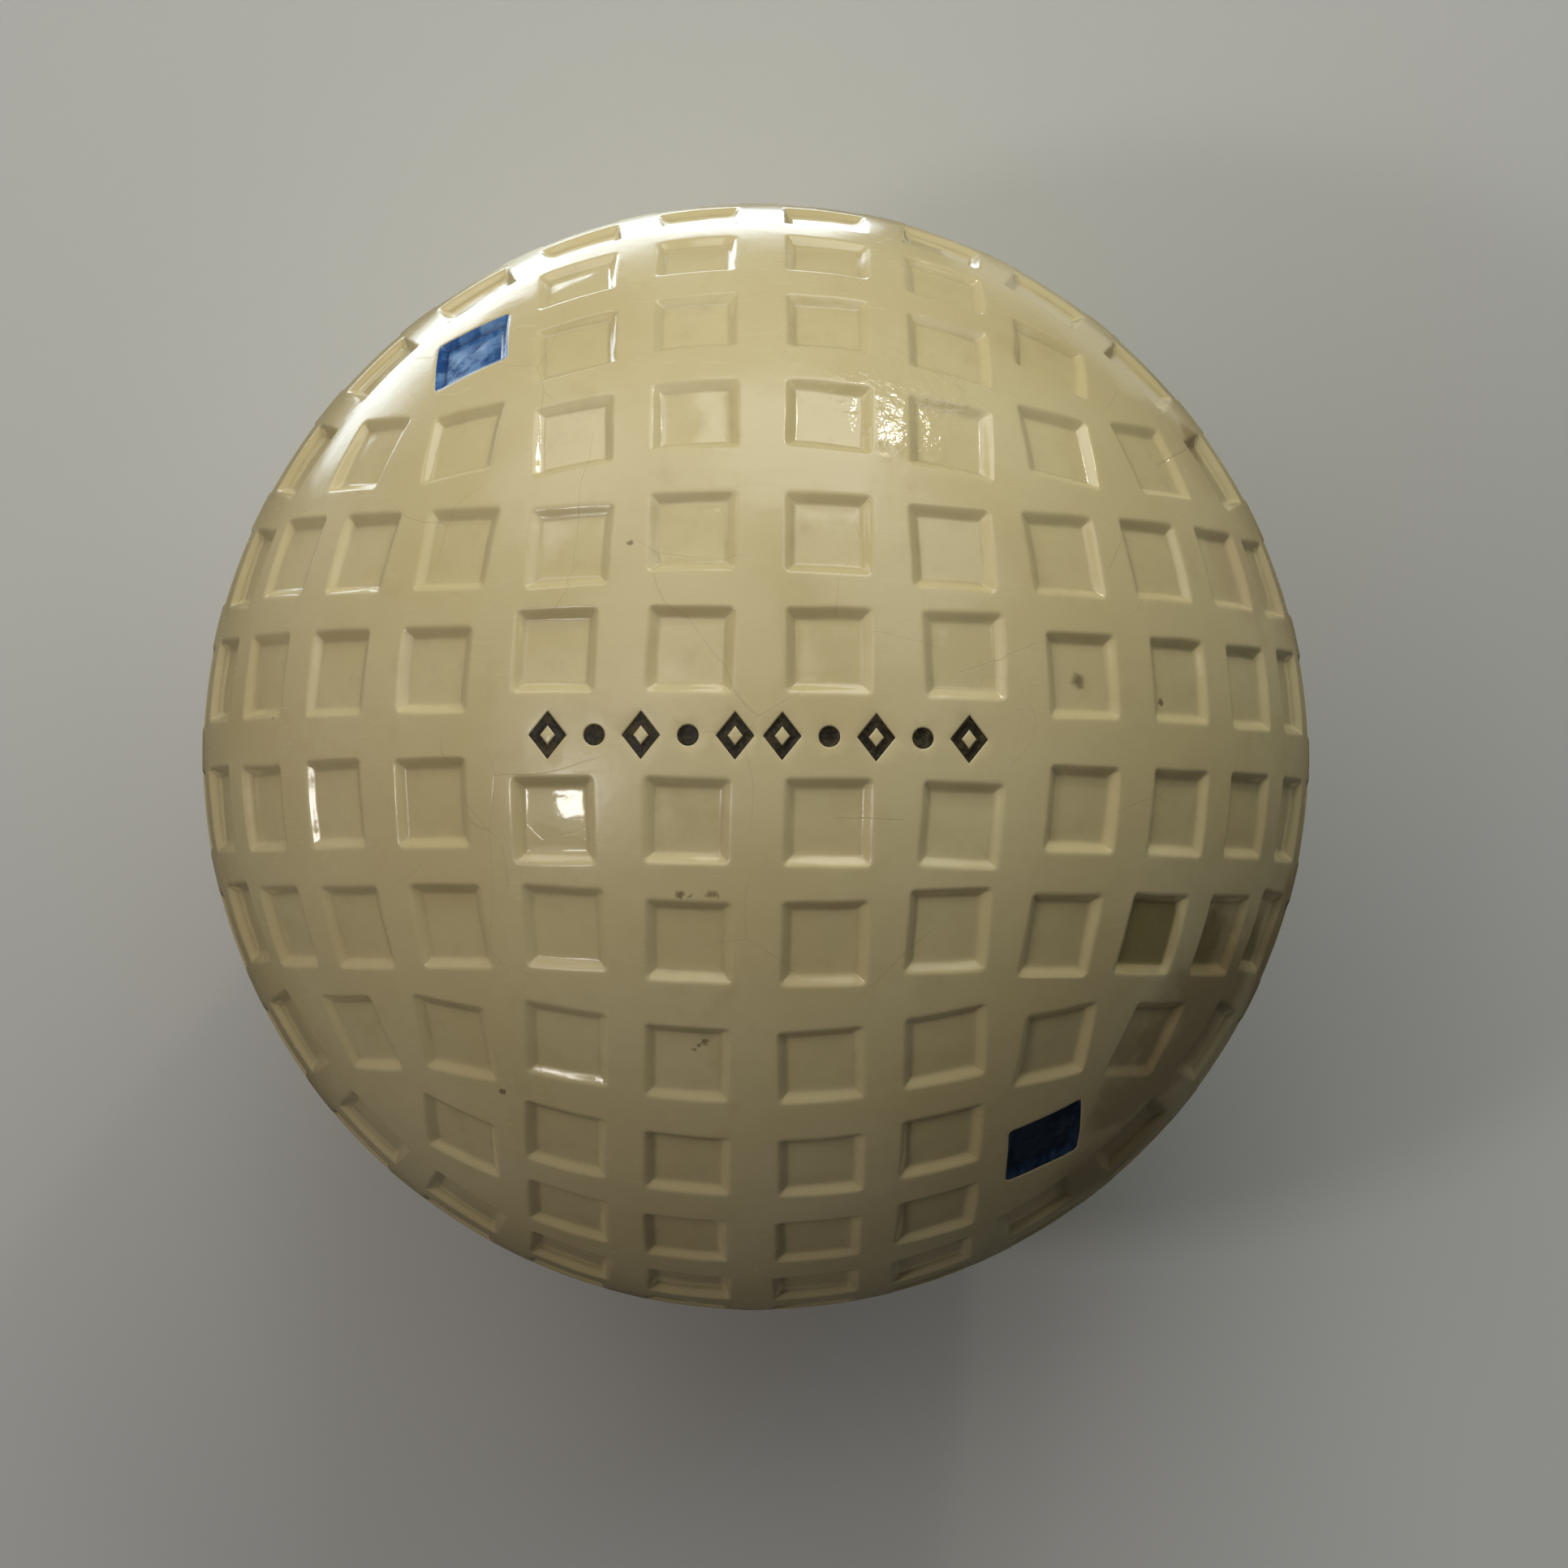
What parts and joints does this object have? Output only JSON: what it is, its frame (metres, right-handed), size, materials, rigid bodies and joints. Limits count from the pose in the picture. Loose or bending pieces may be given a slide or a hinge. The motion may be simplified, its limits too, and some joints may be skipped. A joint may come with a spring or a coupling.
{
  "type": "mesh-pattern golf ball",
  "caption": "Vintage wound golf ball with a two-half moulded cover, a mesh of square recesses, painted identification squares and an inked row at each pole.",
  "frame": {"origin": "the ball's centre", "axes": "+Z out through the stamped pole, +X along the stamped row of marks, the seam between the two cover halves in the plane Z = 0"},
  "size_m": [0.0426, 0.0426, 0.0426],
  "materials": {
    "cover_enamel": "aged ivory gloss enamel over moulded balata, crazed and stained",
    "blue_enamel": "brushed-in gloss enamel",
    "stamp_ink": "worn black filling paint",
    "thread_rubber": "natural gum rubber thread under tension",
    "tape_rubber": "natural rubber tape",
    "sac_rubber": "moulded red rubber",
    "centre_paste": "thick glycerine and clay paste"
  },
  "bodies": {
    "root": {"core_paste": "centre_paste", "core_sac": "sac_rubber", "core_plug": "sac_rubber", "tape_winding_1": "tape_rubber", "tape_winding_2": "tape_rubber", "thread_winding_1": "thread_rubber", "thread_winding_2": "thread_rubber", "thread_winding_3": "thread_rubber", "thread_winding_4": "thread_rubber", "thread_winding_5": "thread_rubber", "thread_winding_6": "thread_rubber", "thread_winding_7": "thread_rubber", "thread_winding_8": "thread_rubber", "cover_top": "cover_enamel", "cover_bottom": "cover_enamel", "blue_paint_top": "blue_enamel", "blue_paint_bottom": "blue_enamel", "stamp_ink_top": "stamp_ink", "stamp_ink_bottom": "stamp_ink"}
  },
  "joints": []
}
